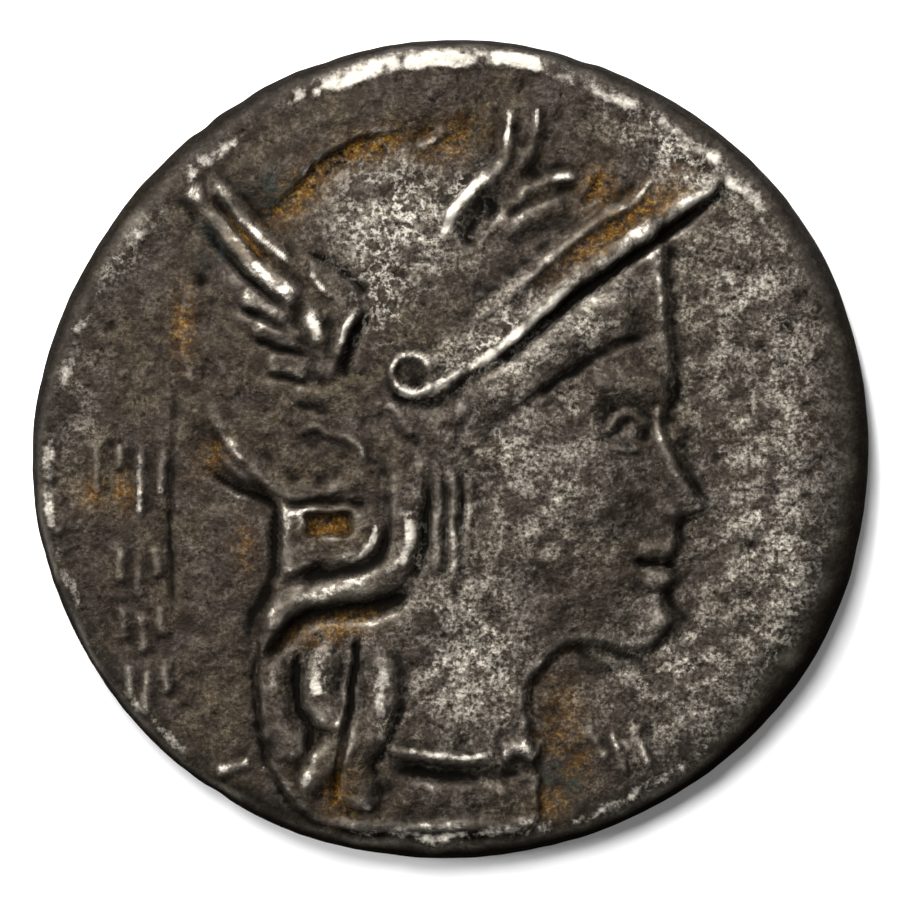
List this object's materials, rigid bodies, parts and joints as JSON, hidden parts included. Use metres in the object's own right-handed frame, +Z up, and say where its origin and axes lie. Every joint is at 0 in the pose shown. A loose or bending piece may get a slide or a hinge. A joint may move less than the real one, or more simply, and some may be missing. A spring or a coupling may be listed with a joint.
{
  "type": "denarius coin",
  "caption": "Worn ancient silver coin lying flat: helmeted head in relief on the upper face, shield and wreath worn flat below.",
  "frame": {"origin": "centre of the resting plane under the coin", "axes": "+Z up out of the obverse, +Y towards the top of the head, +X the way the head faces"},
  "size_m": [0.0192, 0.0188, 0.002],
  "materials": {
    "toned_silver": "dark toned silver, bright on the worn high points, orange and blue-green toning in the recesses"
  },
  "bodies": {
    "root": {"coin": "toned_silver"}
  },
  "joints": []
}
